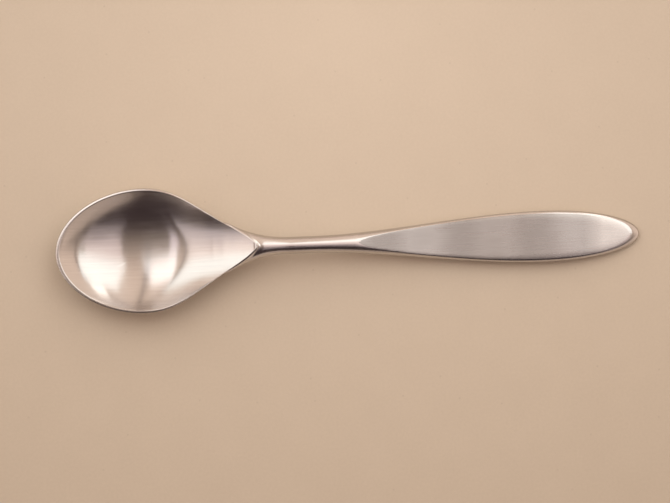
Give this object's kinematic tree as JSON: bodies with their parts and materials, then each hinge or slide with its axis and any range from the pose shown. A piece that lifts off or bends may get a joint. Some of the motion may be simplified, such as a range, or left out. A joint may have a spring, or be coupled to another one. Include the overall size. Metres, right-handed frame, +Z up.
{
  "type": "teaspoon",
  "caption": "Stainless steel teaspoon with a drop-shaped bowl, a round stem and a leaf-shaped handle ground flat on top.",
  "frame": {"origin": "on the surface that the spoon lies on, under the middle of its length and width", "axes": "+X from the bowl towards the end of the handle, +Y across to the left of the handle seen from the bowl, +Z up; the spoon is mirror-symmetric about the XZ plane"},
  "size_m": [0.15, 0.0318, 0.0093],
  "materials": {
    "bowl_steel": "satin, brushed along the length, rim polished",
    "handle_steel": "satin, ground facet brushed along the length, stem and flanks polished"
  },
  "bodies": {
    "root": {"bowl": "bowl_steel", "handle": "handle_steel"}
  },
  "joints": []
}
